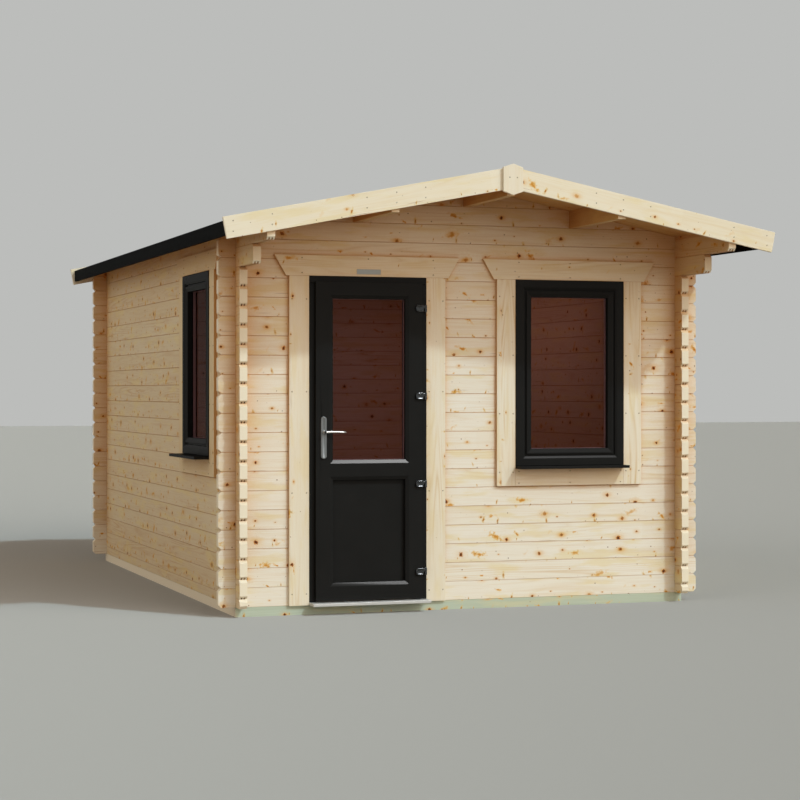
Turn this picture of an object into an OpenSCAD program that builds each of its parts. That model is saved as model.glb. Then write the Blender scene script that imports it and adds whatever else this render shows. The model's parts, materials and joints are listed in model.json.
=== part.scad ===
// Log cabin: a single room of interlocking spruce logs under a low felted roof,
// with a half glazed door and a window in the gable front and a second window in
// the left side wall. The roof runs on past the front as a canopy.
//
// Lengths are in millimetres. X runs across the gable front, Y runs from the front
// to the back and Z is up. X = 0 is the ridge line, Y = 0 is half way between the
// two ends of the roof, and Z = 0 is the ground under the bearers.

/* [Logs] */
// Height of one wall log, which is the step between courses
log_h = 108; // [103:1:116]
// Thickness of the wall logs
log_t = 44; // [34:1:50]
// Length of log past the face of the wall that it crosses
log_end = 97; // [60:1:110]
// Size of the clipped corners on each log end
log_clip = 17; // [5:1:25]
// Width of each of the two tongues on top of a log
tongue_w = 8; // [6:0.5:9]
// Height of the tongues
tongue_h = 9; // [5:0.5:12]
// Lean of each side of a tongue, over its height
tongue_lean = 1; // [0:0.5:2]
// Distance between the middles of the two tongues
tongue_step = 16; // [14:0.5:18]
// Size of the small bevels along the long edges of a log
arris = 2; // [1:0.5:3]
// Clearance between logs, and between pieces that are fitted together
seat = 0.4; // [0.3:0.1:0.8]

/* [Walls] */
// Width over the outer faces of the side walls
body_w = 2745; // [2600:5:3400]
// Depth over the outer faces of the front and back walls
body_d = 3960; // [3000:10:5000]
// Full logs in a side wall, above the half log that it starts on
side_logs = 18; // [18:1:19]
// Height of the wall plate at the outer face of a side wall
plate_h = 119; // [100:1:140]
// Reach of the log under the wall plate, past the front wall
bracket_l = 389; // [200:1:550]

/* [Base] */
// Height of the bearers and the joists
bearer_h = 53; // [40:1:75]
// Width of the bearers and the joists
bearer_w = 45; // [40:1:60]
// Number of joists between the end bearers
joists = 8; // [5:1:12]
// Thickness of the floor boards
floor_t = 18; // [15:1:25]
// Gap between the floor and the walls
floor_gap = 5; // [2:1:12]

/* [Roof] */
// Pitch of the roof in degrees
pitch = 11.1; // [10:0.1:14]
// Reach of the roof past the front wall, to the face of the bargeboards
front_reach = 702; // [650:1:900]
// Reach of the roof past the back wall, to the face of the bargeboards
back_reach = 122; // [120:1:300]
// Reach of the eaves past the side walls, to the face of the fascias
eaves_reach = 213; // [150:1:260]
// Reach of the bargeboards past the fascias
barge_reach = 29; // [10:1:50]
// Thickness of the roof boards
deck_t = 18; // [15:1:25]
// Thickness of the roof felt
felt_t = 3; // [2:0.5:5]
// Height of the bargeboards above the felt, square to the slope
barge_lip = 16; // [5:1:25]
// Width of the bargeboards
barge_w = 116; // [100:1:150]
// Thickness of the bargeboards, fascias and finials
barge_t = 20; // [15:1:28]
// Height of the fascias
fascia_h = 78; // [60:1:110]
// Distance of the purlins from the ridge line
purlin_x = 664; // [500:1:800]
// Course line that the purlins rest on
purlin_course = 20; // [20:1:20]
// Course line that the ridge beam rests on
ridge_course = 21; // [21:1:21]
// Width of the finial boards
finial_w = 115; // [90:1:140]
// Height of a finial between its points
finial_h = 170; // [150:1:220]
// Height of a finial's point above its shoulder
finial_point = 19; // [5:1:30]
// Height of a finial's top point above the meeting of the bargeboards
finial_rise = 15; // [5:1:30]

/* [Openings] */
// Height of the door and window heads above the bearers
head_z = 1852; // [1750:1:1900]
// Centre of the door, measured from the ridge line
door_x = -603; // [-640:1:-560]
// Width of the door frame
door_w = 698; // [640:1:740]
// Centre of the front window, measured from the ridge line
window_x = 640; // [600:1:700]
// Width of the window frames
window_w = 688; // [560:1:720]
// Height of the window frames, with their sills
window_h = 1100; // [916:1:1166]
// Centre of the side window, measured from the face of the front wall
side_window_y = 896; // [700:1:1500]
// Depth of the door and window frames behind the wall face
frame_in = 44; // [34:1:50]
// Distance that the door frame stands out from the wall
frame_out = 21; // [19:1:30]
// Distance that the window frames stand out from the wall
window_out = 25; // [20:1:35]

/* [Trim] */
// Width of the boards round the door and windows
trim_w = 116; // [90:1:125]
// Width of the boards under the windows
sill_board_w = 100; // [80:1:125]
// Thickness of the boards round the door and windows
trim_t = 19; // [12:1:19]
// Length of a head board past the side boards at its lower edge
head_over = 18; // [0:1:30]
// Run of the slanted ends of a head board
head_slant = 68; // [20:1:90]

/* [Door] */
// Face width of the door frame that shows beside the leaf
door_frame_face = 32; // [25:1:45]
// Overlap of the leaf's flange on the frame
flange_lap = 8; // [6:1:14]
// Thickness of the leaf's flange
flange_t = 20; // [15:1:25]
// Clearance round the moving leaf
leaf_gap = 5; // [5:0.5:8]
// Clearance under the leaf
under_gap = 6; // [5:0.5:12]
// Extra side clearance that lets the leaf's core swing out
swing_gap = 4; // [4:0.5:8]
// Overlap of the door frame's stop on the back of the leaf's core
stop_lap = 5; // [4:1:8]
// Depth of the leaf's core behind the flange
core_t = 50; // [40:1:50]
// Width of the stiles
stile_w = 82; // [70:1:100]
// Height of the top rail
top_rail = 76; // [60:1:100]
// Height of the bottom rail
bottom_rail = 83; // [60:1:120]
// Height of the middle rail
mid_rail = 74; // [60:1:100]
// Height of the middle rail's underside above the bearers
mid_rail_z = 722; // [600:1:800]
// Width of the bevelled beads round the glass and the lower panel
bead_w = 20; // [14:1:25]
// Depth of those bevels
bead_depth = 9; // [5:1:15]
// Depth of the glass and the panel behind the face of the leaf
pane_in = 32; // [20:1:36]
// Thickness of the glazing units and the lower panel
pane_t = 24; // [16:1:28]
// Depth of the panes' edges in their frames
pane_lap = 12; // [6:1:14]
// Thickness of the threshold and of the window sills
sill_t = 16; // [12:1:25]
// Reach of the threshold and the window sills past the wall face
sill_reach = 108; // [60:1:130]

/* [Hinges] */
// Height of the lowest hinge above the bearers
hinge_z = 175; // [120:1:220]
// Distance between the hinges
hinge_step = 500; // [450:1:520]
// Height of a hinge
hinge_h = 40; // [30:1:60]
// Outer radius of the knuckles
knuckle_r = 8; // [7:0.5:9]
// Radius of the hinge pins
pin_r = 4; // [3:0.5:5]
// Distance of the hinge axis from the outer edge of the door frame
hinge_in = 15; // [13:1:16]
// Distance of the hinge flags and frame plates from the hinge axis
flag_out = 15; // [14:1:16]
// Length of a hinge flag on the leaf
flag_l = 38; // [25:1:50]
// Thickness of the hinge plates
plate_t = 4; // [3:0.5:5]

/* [Handle] */
// Height of the handle's spindle above the bearers
handle_z = 973; // [900:1:1050]
// Distance of the spindle from the edge of the leaf
backset = 32; // [28:1:45]
// Length of the lever
lever_l = 122; // [90:1:140]
// Radius of the lever
lever_r = 5.5; // [4:0.5:7]
// Radius of the necks between the plates and the lever
neck_r = 9; // [7:0.5:11]
// Radius of the lever's bend
lever_bend = 14; // [10:1:20]
// Radius of the spindle
spindle_r = 5; // [4:0.5:6]
// Distance of the lever from the handle plate
lever_out = 42; // [30:1:55]
// Height of the handle plates
hplate_h = 237; // [200:1:250]
// Height of the spindle above the lower end of a handle plate
hplate_drop = 150; // [120:1:180]
// Width of the handle plates
hplate_w = 33; // [26:1:34]
// Thickness of the handle plates
hplate_t = 9; // [6:1:12]

/* [Windows] */
// Face width of a window frame, without its bevel
window_frame_face = 44; // [30:1:50]
// Width of the bevel round the inside of a window frame's face
frame_bevel = 14; // [8:1:18]
// Depth of that bevel
frame_bevel_depth = 8; // [5:1:12]
// Width and depth of the groove between a frame and its sash
sash_groove = 10; // [6:1:12]
// Depth of a sash's face behind the face of its frame
sash_back = 4; // [1:1:6]
// Width of the flat face of a sash
sash_flat = 8; // [4:1:12]
// Width of the bevel between that flat face and the glass
sash_bevel = 24; // [16:1:30]
// Depth of that bevel
sash_bevel_depth = 7; // [5:1:12]
// Depth of the glass behind the sash's face
sash_glass = 38; // [24:1:38]

/* [Hidden] */
$fn = 48;

// Colours
spruce = "#e9d3a8";
pale_spruce = "#efe0bf";
treated = "#b9bd93";
black_pvc = "#222326";
felt = "#1a1b1d";
smoked = "#4a2a25";
steel = "#b8bbbf";
alloy = "#c9cbcc";

// Overlap that makes a cut run past the face it starts from
over = 1;

half_w = body_w / 2;
front_y = (front_reach - back_reach - body_d) / 2;
back_y = front_y + body_d;
eaves_z = course(side_logs + 0.5) + plate_h;
ridge_z = deck_under(0);
front_courses = round((ridge_z - bearer_h) / log_h);
roof_front = front_y - front_reach + barge_t;
roof_back = back_y + back_reach - barge_t;

// Openings as [low edge, high edge, bottom, top], with heights above the ground
door_hole = opening(door_x, door_w, 0, head_z);
window_hole = opening(window_x, window_w, head_z - window_h, head_z);
side_hole = opening(front_y + side_window_y, window_w,
                    head_z - window_h + log_h / 2, head_z + log_h / 2);

// Courses where the openings start and end
head_course = floor((door_hole[3] - bearer_h) / log_h);
sill_course = floor((window_hole[2] - bearer_h) / log_h);
side_head_course = floor((side_hole[3] - bearer_h) / log_h + 0.5);
side_sill_course = floor((side_hole[2] - bearer_h) / log_h + 0.5);

// Distances from the face of the front wall, negative towards the outside
leaf_back = core_t - frame_out - leaf_gap;
leaf_face = -frame_out - leaf_gap - flange_t;
hinge_y = leaf_face - plate_t / 2;
hinge_x = door_hole[1] - hinge_in;

// Faces of the door leaf
flange_x0 = door_hole[0] + door_frame_face;
flange_x1 = door_hole[1] - door_frame_face;
flange_z0 = bearer_h + sill_t + under_gap;
flange_z1 = door_hole[3] - door_frame_face;
jamb_w = door_frame_face + flange_lap;
core_in = flange_lap + leaf_gap + swing_gap;
spindle_x = flange_x0 + backset + flange_lap + swing_gap;
spindle_z = bearer_h + handle_z;

// Height of a course line above the ground
function course(n) = bearer_h + n * log_h;

// Height of the underside of the roof boards at a distance from the ridge line
function deck_under(x) = eaves_z + (half_w - abs(x)) * tan(pitch);

function opening(centre, width, low, high) =
    [centre - width / 2, centre + width / 2, bearer_h + low, bearer_h + high];

// ---- Shapes that repeat ----------------------------------------------------

// Turns a face drawn as (x, z) into a slab from y to y + thickness
module across(y, thickness)
    translate([0, y + thickness, 0]) rotate([90, 0, 0])
        linear_extrude(thickness) children();

// Turns a face drawn as (y, z) into a slab from x to x + thickness
module along(x, thickness)
    translate([x, 0, 0]) rotate([90, 0, 90]) linear_extrude(thickness) children();

// Block from one corner to the opposite one
module block(low, high) translate(low) cube(high - low);

// Side view of a log from u0 to u1 and z0 to z1, with room for its tongues on top.
// Its ends are clipped where they stand free, and it is notched for the walls that
// cross it: each crossing is the low face of such a wall, and cut_low and cut_high
// are the depths of the notches.
module log_face(u0, u1, z0, z1, crossings = [], cut_low = log_h / 4,
                cut_high = log_h / 4, clip0 = 0, clip1 = 0) {
    back0 = clip0 > 0 ? clip0 + tongue_h : 0;
    back1 = clip1 > 0 ? clip1 + tongue_h : 0;
    difference() {
        polygon([
            [u0 + clip0, z0], [u1 - clip1, z0], [u1, z0 + clip1], [u1, z1 - clip1],
            [u1 - back1, z1 + tongue_h], [u0 + back0, z1 + tongue_h],
            [u0, z1 - clip0], [u0, z0 + clip0]
        ]);
        for (c = crossings) {
            translate([c - seat, z0 - over]) square([log_t + 2 * seat, cut_low + over]);
            translate([c - seat, z1 - cut_high])
                square([log_t + 2 * seat, cut_high + tongue_h + over]);
        }
    }
}

// End view of a log from z0 to z1: bevelled long edges, two tongues on top and two
// grooves below that fit over the tongues of the log underneath
module log_section(z0, z1, tongued = true, grooved = true) {
    middles = [log_t / 2 - tongue_step / 2, log_t / 2 + tongue_step / 2];
    root = tongue_w / 2;
    tip = root - tongue_lean;
    polygon([
        [0, z0 + arris], [arris, z0],
        if (grooved) for (m = middles)
            each [[m - root - seat, z0], [m - tip - seat, z0 + tongue_h],
                  [m + tip + seat, z0 + tongue_h], [m + root + seat, z0]],
        [log_t - arris, z0], [log_t, z0 + arris], [log_t, z1 - arris], [log_t - arris, z1],
        if (tongued) for (m = [middles[1], middles[0]])
            each [[m + root, z1], [m + tip, z1 + tongue_h],
                  [m - tip, z1 + tongue_h], [m - root, z1]],
        [arris, z1], [0, z1 - arris]
    ]);
}

// Everything below the roof boards, as seen from the front
module under_roof() {
    drop = seat / cos(pitch);
    polygon([
        [-body_w, 0], [body_w, 0], [body_w, deck_under(body_w) - drop],
        [0, ridge_z - drop], [-body_w, deck_under(body_w) - drop]
    ]);
}

// Face of an opening in the logs, with clearance round the frame
module hole_face(hole)
    translate([hole[0] - seat, hole[2] - (hole[2] > bearer_h ? seat : over)])
        square([hole[1] - hole[0] + 2 * seat, hole[3] - hole[2] + seat
                + (hole[2] > bearer_h ? seat : over)]);

// ---- Base ------------------------------------------------------------------

module bearers() color(treated) {
    for (x = [-half_w, half_w - bearer_w])
        block([x, front_y, 0], [x + bearer_w, back_y, bearer_h]);
    for (y = [front_y, back_y - bearer_w])
        block([-half_w + bearer_w + seat, y, 0],
              [half_w - bearer_w - seat, y + bearer_w, bearer_h]);
}

module floor_joists() color(treated)
    for (i = [1 : joists]) {
        y = front_y + i * (body_d - bearer_w) / (joists + 1);
        block([-half_w + bearer_w, y, 0], [half_w - bearer_w, y + bearer_w, bearer_h]);
    }

module floor_boards() color(pale_spruce)
    block([-half_w + log_t + floor_gap, front_y + frame_in + floor_gap, bearer_h],
          [half_w - log_t - floor_gap, back_y - log_t - floor_gap, bearer_h + floor_t]);

// ---- Logs of the front and back walls ---------------------------------------

cross_left = -half_w;
cross_right = half_w - log_t;
cross_front = front_y;
cross_back = back_y - log_t;

// Courses of a gable wall between u0 and u1. The logs run out past the side walls
// where they reach them, stop under the roof and are cut for the beams and openings.
module gable_wall(y, from, to, u0, u1, holes = []) {
    free0 = u0 < -half_w;
    free1 = u1 > half_w;
    for (n = [from : 1 : to]) {
        last = n == front_courses - 1;
        low = course(n) + (n == 0 ? 0 : seat / 2);
        high = last ? ridge_z + arris : course(n + 1) - seat / 2;
        clip = n <= side_logs ? log_clip : 0;
        intersection() {
            across(y, log_t) difference() {
                intersection() {
                    log_face(u0, u1, low, high,
                             [if (free0) cross_left, if (free1) cross_right],
                             clip0 = free0 ? clip : 0, clip1 = free1 ? clip : 0);
                    under_roof();
                }
                for (x = [-purlin_x, purlin_x]) beam_hole(x, purlin_course);
                beam_hole(0, ridge_course);
                for (hole = holes) hole_face(hole);
            }
            along(u0 - over, u1 - u0 + 2 * over) translate([y, 0])
                log_section(low, high, tongued = !last);
        }
    }
}

module beam_hole(x, level)
    translate([x - log_t / 2 - seat, course(level) - seat / 2])
        square([log_t + 2 * seat, ridge_z]);

module front_wall_left() color(spruce)
    gable_wall(front_y, 0, head_course - 1, -half_w - log_end, door_hole[0] - seat);

module front_wall_middle() color(spruce)
    gable_wall(front_y, sill_course + 1, head_course - 1,
               door_hole[1] + seat, window_hole[0] - seat);

module front_wall_right() color(spruce)
    gable_wall(front_y, sill_course + 1, head_course - 1,
               window_hole[1] + seat, half_w + log_end);

module front_wall_under_window() color(spruce)
    gable_wall(front_y, 0, sill_course, door_hole[1] + seat, half_w + log_end,
               [window_hole]);

module front_gable() color(spruce)
    gable_wall(front_y, head_course, front_courses - 1, -half_w - log_end,
               half_w + log_end, [door_hole, window_hole]);

module back_wall() color(spruce)
    gable_wall(back_y - log_t, 0, front_courses - 1, -half_w - log_end, half_w + log_end);

// ---- Logs of the side walls --------------------------------------------------

// Courses of a side wall between v0 and v1. Course 0 is the half log on the bearer,
// so every other course lies half a log lower than the gable wall's course of that
// number, and the two walls' notches lock into each other.
module side_wall(x, from, to, v0, v1, holes = []) {
    free0 = v0 < front_y;
    free1 = v1 > back_y;
    for (n = [from : 1 : to]) {
        low = n == 0 ? bearer_h : course(n - 0.5) + seat / 2;
        high = course(n + 0.5) - seat / 2;
        intersection() {
            along(x, log_t) difference() {
                log_face(v0, v1, low, high,
                         [if (free0) cross_front, if (free1) cross_back],
                         cut_low = n == 0 ? 0 : log_h / 4,
                         clip0 = free0 ? log_clip : 0, clip1 = free1 ? log_clip : 0);
                for (hole = holes) hole_face(hole);
            }
            across(v0 - over, v1 - v0 + 2 * over) translate([x, 0])
                log_section(low, high, grooved = n > 0);
        }
    }
}

// Wall plate: it runs the length of the roof, and its top follows the slope
module wall_plate(x) {
    low = course(side_logs + 0.5) + seat / 2;
    high = deck_under(half_w - log_t) + log_clip;
    length = roof_back - roof_front;
    intersection() {
        along(x, log_t)
            log_face(roof_front, roof_back, low, high, [cross_front, cross_back],
                     cut_high = high - course(side_logs + 1.25),
                     clip0 = log_clip, clip1 = log_clip);
        across(roof_front - over, length + 2 * over) translate([x, 0])
            log_section(low, high, tongued = false);
        across(roof_front - over, length + 2 * over) under_roof();
    }
}

// Top of a side wall: the courses above the window, the log that reaches forward
// under the wall plate, and the plate
module side_top(x, from, holes = []) {
    side_wall(x, from, side_logs - 1, front_y - log_end, back_y + log_end, holes);
    side_wall(x, side_logs, side_logs, front_y - bracket_l, back_y + log_end, holes);
    wall_plate(x);
}

module left_wall_lower() color(spruce)
    side_wall(-half_w, 0, side_sill_course, front_y - log_end, back_y + log_end,
              [side_hole]);

module left_wall_front() color(spruce)
    side_wall(-half_w, side_sill_course + 1, side_head_course - 1,
              front_y - log_end, side_hole[0] - seat);

module left_wall_rear() color(spruce)
    side_wall(-half_w, side_sill_course + 1, side_head_course - 1,
              side_hole[1] + seat, back_y + log_end);

module left_wall_top() color(spruce) side_top(-half_w, side_head_course, [side_hole]);

module right_wall() color(spruce)
    side_wall(half_w - log_t, 0, side_logs - 1, front_y - log_end, back_y + log_end);

module right_wall_top() color(spruce) side_top(half_w - log_t, side_logs);

// ---- Roof --------------------------------------------------------------------

// Beam along the roof, its top shaped to the underside of the roof boards
module roof_beam(x, level)
    across(roof_front, roof_back - roof_front)
        intersection() {
            translate([x - log_t / 2, course(level)]) square([log_t, ridge_z]);
            under_roof();
        }

module ridge_beam() color(spruce) roof_beam(0, ridge_course);

module purlins() color(spruce)
    for (x = [-purlin_x, purlin_x]) roof_beam(x, purlin_course);

// Layer of one roof slope between two distances above the roof boards' underside,
// measured square to the slope. It ends plumb at the ridge and at the eaves.
module slope_layer(low, high, eaves_x, side)
    across(roof_front, roof_back - roof_front)
        polygon([
            for (p = [[seat / 2, low], [eaves_x, low], [eaves_x, high], [seat / 2, high]])
                [side * p[0], deck_under(p[0]) + p[1] / cos(pitch)]
        ]);

module roof_boards_left() color(pale_spruce)
    slope_layer(0, deck_t, half_w + eaves_reach - barge_t, -1);
module roof_boards_right() color(pale_spruce)
    slope_layer(0, deck_t, half_w + eaves_reach - barge_t, 1);
module roof_felt_left() color(felt)
    slope_layer(deck_t + seat, deck_t + seat + felt_t, half_w + eaves_reach, -1);
module roof_felt_right() color(felt)
    slope_layer(deck_t + seat, deck_t + seat + felt_t, half_w + eaves_reach, 1);

// Fascias close the eaves under the felt
module fascias() color(felt)
    for (side = [-1, 1])
        across(roof_front, roof_back - roof_front)
            polygon([
                for (p = [[eaves_reach - barge_t, 0], [eaves_reach, 0]])
                    [side * (half_w + p[0]), felt_edge - fascia_h],
                for (p = [eaves_reach, eaves_reach - barge_t])
                    [side * (half_w + p), deck_under(half_w + p) + deck_t / cos(pitch)]
            ]);

felt_edge = deck_under(half_w + eaves_reach) + (deck_t + seat + felt_t) / cos(pitch);

// Top line of the bargeboards above the underside of the roof boards, plumb
barge_top = (deck_t + seat + felt_t + barge_lip) / cos(pitch);
barge_end = half_w + eaves_reach + barge_reach;

// Pair of bargeboards that meet at a plumb joint under the finial, with their
// outer ends cut square
module bargeboards(y) color(pale_spruce)
    for (side = [-1, 1])
        across(y, barge_t)
            polygon([
                [side * seat / 2, ridge_z + barge_top],
                [side * barge_end, deck_under(barge_end) + barge_top],
                [side * (barge_end - barge_w * sin(pitch)),
                 deck_under(barge_end) + barge_top - barge_w * cos(pitch)],
                [side * seat / 2, ridge_z + barge_top - barge_w / cos(pitch)]
            ]);

module front_bargeboards() bargeboards(roof_front - barge_t);
module back_bargeboards() bargeboards(roof_back);

module finials() color(pale_spruce)
    for (y = [roof_front - 2 * barge_t, roof_back + barge_t])
        across(y, barge_t) {
            top = ridge_z + barge_top + finial_rise;
            polygon([
                [0, top], [finial_w / 2, top - finial_point],
                [finial_w / 2, top - finial_h + finial_point], [0, top - finial_h],
                [-finial_w / 2, top - finial_h + finial_point],
                [-finial_w / 2, top - finial_point]
            ]);
        }

// ---- Boards round the openings ------------------------------------------------

// Face of the head board over an opening of the given width, centred on zero
module head_board(width) {
    low = width / 2 + trim_w + head_over;
    polygon([[-low, 0], [low, 0], [low + head_slant, trim_w], [-low - head_slant, trim_w]]);
}

// Boards round a window, drawn on the outside of a wall whose face is y = 0,
// with the opening's lower left corner at the origin
module window_boards() across(-trim_t, trim_t) {
    for (x = [-trim_w, window_w]) translate([x, -sill_board_w])
        square([trim_w, window_h + sill_board_w - seat]);
    translate([seat, -sill_board_w]) square([window_w - 2 * seat, sill_board_w]);
    translate([window_w / 2, window_h]) head_board(window_w);
}

module door_trim() color(spruce) across(front_y - trim_t, trim_t) {
    for (x = [door_hole[0] - trim_w, door_hole[1]]) translate([x, bearer_h])
        square([trim_w, head_z - seat]);
    translate([door_x, door_hole[3]]) head_board(door_w);
}

module front_window_trim() color(spruce) at_front_window() window_boards();
module side_window_trim() color(spruce) at_side_window() window_boards();

module at_front_window()
    translate([window_hole[0], front_y, window_hole[2]]) children();

// The left wall faces -X, so its window is turned a quarter to the left
module at_side_window()
    translate([-half_w, side_hole[1], side_hole[2]]) rotate([0, 0, -90]) children();

// ---- Frames --------------------------------------------------------------------

// Block that narrows by the bevel on all four sides over its depth, from the face
// at y, and runs straight out past that face
module bevel_cut(x0, x1, z0, z1, y, bevel, depth) {
    out = y - over;
    end = y + depth;
    intersection() {
        across(out, depth + over) translate([x0, z0]) square([x1 - x0, z1 - z0]);
        translate([0, 0, z0]) linear_extrude(z1 - z0)
            polygon([[x0, out], [x1, out], [x1, y], [x1 - bevel, end],
                     [x0 + bevel, end], [x0, y]]);
        translate([x0, 0, 0]) rotate([90, 0, 90]) linear_extrude(x1 - x0)
            polygon([[out, z0], [out, z1], [y, z1], [end, z1 - bevel],
                     [end, z0 + bevel], [y, z0]]);
    }
}

// Cut for a pane: a mouth with a bevel at the front, as [width, depth], and the slot
// that holds the pane's edges, with the pane's own face at y
module pane_cut(x0, x1, z0, z1, front, back, bevel, y) {
    bead = bevel[0];
    bevel_cut(x0, x1, z0, z1, front, bead, bevel[1]);
    block([x0 + bead, front, z0 + bead], [x1 - bead, back + over, z1 - bead]);
    pane(x0, x1, z0, z1, y, bead, seat);
}

module pane(x0, x1, z0, z1, y, bead, grow = 0) {
    edge = bead - pane_lap - grow;
    block([x0 + edge, y - grow, z0 + edge], [x1 - edge, y + pane_t + grow, z1 - edge]);
}

// ---- Door ------------------------------------------------------------------------

// Each frame member has an L section: the face, and a stop behind the leaf
module door_frame() color(black_pvc) {
    stop = door_frame_face + core_in + stop_lap;
    stop_y = front_y + leaf_back + leaf_gap;
    for (side = [0, 1])
        translate([side * 2 * door_x, 0, 0]) mirror([side, 0, 0])
            translate([0, 0, bearer_h + sill_t])
                linear_extrude(head_z - sill_t - jamb_w - seat)
                    polygon([
                        [door_hole[0], front_y - frame_out],
                        [door_hole[0] + jamb_w, front_y - frame_out],
                        [door_hole[0] + jamb_w, stop_y],
                        [door_hole[0] + stop, stop_y],
                        [door_hole[0] + stop, front_y + frame_in],
                        [door_hole[0], front_y + frame_in]
                    ]);
    block([door_hole[0], front_y - frame_out, door_hole[3] - jamb_w],
          [door_hole[1], front_y + frame_in, door_hole[3]]);
}

module door_threshold() color(alloy)
    block([door_hole[0] + seat, front_y - sill_reach, bearer_h],
          [door_hole[1] - seat, front_y + frame_in, bearer_h + sill_t]);

// Faces of the leaf's two fields, as [x0, x1, z0, z1]
glass_field = [flange_x0 + stile_w, flange_x1 - stile_w,
               bearer_h + mid_rail_z + mid_rail, flange_z1 - top_rail];
panel_field = [flange_x0 + stile_w, flange_x1 - stile_w,
               flange_z0 + bottom_rail, bearer_h + mid_rail_z];

module door_leaf() color(black_pvc) difference() {
    union() {
        block([flange_x0, front_y + leaf_face, flange_z0],
              [flange_x1, front_y + leaf_face + flange_t, flange_z1]);
        block([flange_x0 + core_in, front_y + leaf_face + flange_t - over, flange_z0],
              [flange_x1 - core_in, front_y + leaf_back, flange_z1 - flange_lap - leaf_gap]);
    }
    field_cut(glass_field);
    field_cut(panel_field);
    translate([spindle_x, front_y + leaf_face - over, spindle_z]) rotate([-90, 0, 0])
        cylinder(r = spindle_r + leaf_gap, h = leaf_back - leaf_face + 2 * over);
}

module field_cut(f)
    pane_cut(f[0], f[1], f[2], f[3], front_y + leaf_face, front_y + leaf_back,
             [bead_w, bead_depth], front_y + leaf_face + pane_in);

module field_pane(f) pane(f[0], f[1], f[2], f[3], front_y + leaf_face + pane_in, bead_w);

module door_glass() color(smoked) field_pane(glass_field);

module door_panel() color(black_pvc) field_pane(panel_field);

// ---- Hinges ------------------------------------------------------------------------

// Puts a piece, drawn with the hinge axis at the origin, at each hinge
module at_hinges()
    for (i = [0 : 3])
        translate([hinge_x, front_y + hinge_y, bearer_h + hinge_z + i * hinge_step])
            children();

// Fixed half: a plate on the frame, an arm, the lower knuckle and the pin
module hinge_posts() color(steel) at_hinges() {
    frame_y = -frame_out - hinge_y;
    half = hinge_h / 2;
    block([-flag_out + plate_t, frame_y - plate_t, -half],
          [hinge_in - plate_t / 2, frame_y, half]);
    block([-knuckle_r / 2, 0, -half], [knuckle_r, frame_y, -seat]);
    translate([0, 0, -half]) cylinder(r = knuckle_r, h = half - seat);
    translate([0, 0, -over]) cylinder(r = pin_r, h = half + over - knuckle_r / 2);
}

// Moving half: a flag on the face of the leaf, with the upper knuckle on the pin
module hinge_flags() color(steel) at_hinges() {
    half = hinge_h / 2;
    difference() {
        union() {
            cylinder(r = knuckle_r, h = half);
            block([-flag_out - flag_l, -plate_t / 2, -half], [-flag_out, plate_t / 2, half]);
            block([-flag_out - over, -plate_t / 2, seat],
                  [-knuckle_r / 2, plate_t / 2, half]);
        }
        translate([0, 0, -over])
            cylinder(r = pin_r + seat, h = half + over - knuckle_r / 4);
    }
}

// ---- Handle --------------------------------------------------------------------------

// Plates on both faces of the leaf, with round ends
module handle_plates() color(steel) {
    low = hplate_w / 2 - hplate_drop;
    for (y = [leaf_face - hplate_t, leaf_back])
        translate([spindle_x, 0, spindle_z]) difference() {
            across(front_y + y, hplate_t) union() {
                for (z = [0, hplate_h - hplate_w]) translate([0, low + z])
                    circle(r = hplate_w / 2);
                translate([-hplate_w / 2, low]) square([hplate_w, hplate_h - hplate_w]);
            }
            translate([0, front_y + y - over, 0]) rotate([-90, 0, 0])
                cylinder(r = spindle_r + seat, h = hplate_t + 2 * over);
        }
}

// Lever on the outside, drawn from a plate whose face is y = 0: a neck, a bend and
// a straight grip with a round end
module lever() {
    reach = lever_out - lever_bend;
    translate([0, -seat, 0]) rotate([90, 0, 0]) cylinder(r = neck_r, h = lever_bend);
    rotate([90, 0, 0]) cylinder(r = lever_r, h = reach);
    translate([lever_bend, -reach, 0]) rotate([0, 0, 180])
        rotate_extrude(angle = 90) translate([lever_bend, 0]) circle(r = lever_r);
    translate([lever_bend, -lever_out, 0]) rotate([0, 90, 0])
        cylinder(r = lever_r, h = lever_l - lever_bend - lever_r);
    translate([lever_l - lever_r, -lever_out, 0]) sphere(r = lever_r);
}

// Spindle through the leaf with a lever on each end
module door_handle() color(steel)
    translate([spindle_x, front_y, spindle_z]) {
        out_y = leaf_face - hplate_t;
        in_y = leaf_back + hplate_t;
        translate([0, out_y - over, 0]) rotate([-90, 0, 0])
            cylinder(r = spindle_r, h = in_y - out_y + 2 * over);
        translate([0, out_y, 0]) lever();
        translate([0, in_y, 0]) mirror([0, 1, 0]) lever();
    }

// ---- Windows -------------------------------------------------------------------------

// The window's pieces are drawn like its boards, with the opening's lower left
// corner at the origin and the wall face at y = 0

sash_in = window_frame_face + frame_bevel;
sash_face_in = sash_in + sash_groove;
glass_in = sash_face_in + sash_flat;
sash_face = sash_back - window_out;
glass_y = sash_face + sash_glass;

// Block inside a window's frame, at the same distance from all four of its edges
module inset_block(inset, y0, y1)
    block([inset, y0, sill_t + inset], [window_w - inset, y1, window_h - inset]);

module window_frame() color(black_pvc) difference() {
    inset_block(0, -window_out, frame_in);
    bevel_cut(window_frame_face, window_w - window_frame_face,
              sill_t + window_frame_face, window_h - window_frame_face, -window_out,
              frame_bevel, frame_bevel_depth);
    inset_block(sash_in - seat, -window_out, frame_in + over);
}

module window_sash() color(black_pvc) difference() {
    union() {
        inset_block(sash_in, sash_face + sash_groove, frame_in);
        inset_block(sash_face_in, sash_face, frame_in);
    }
    pane_cut(glass_in, window_w - glass_in, sill_t + glass_in, window_h - glass_in,
             sash_face, frame_in, [sash_bevel, sash_bevel_depth], glass_y);
}

module window_glass() color(smoked)
    pane(glass_in, window_w - glass_in, sill_t + glass_in, window_h - glass_in,
         glass_y, sash_bevel);

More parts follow.
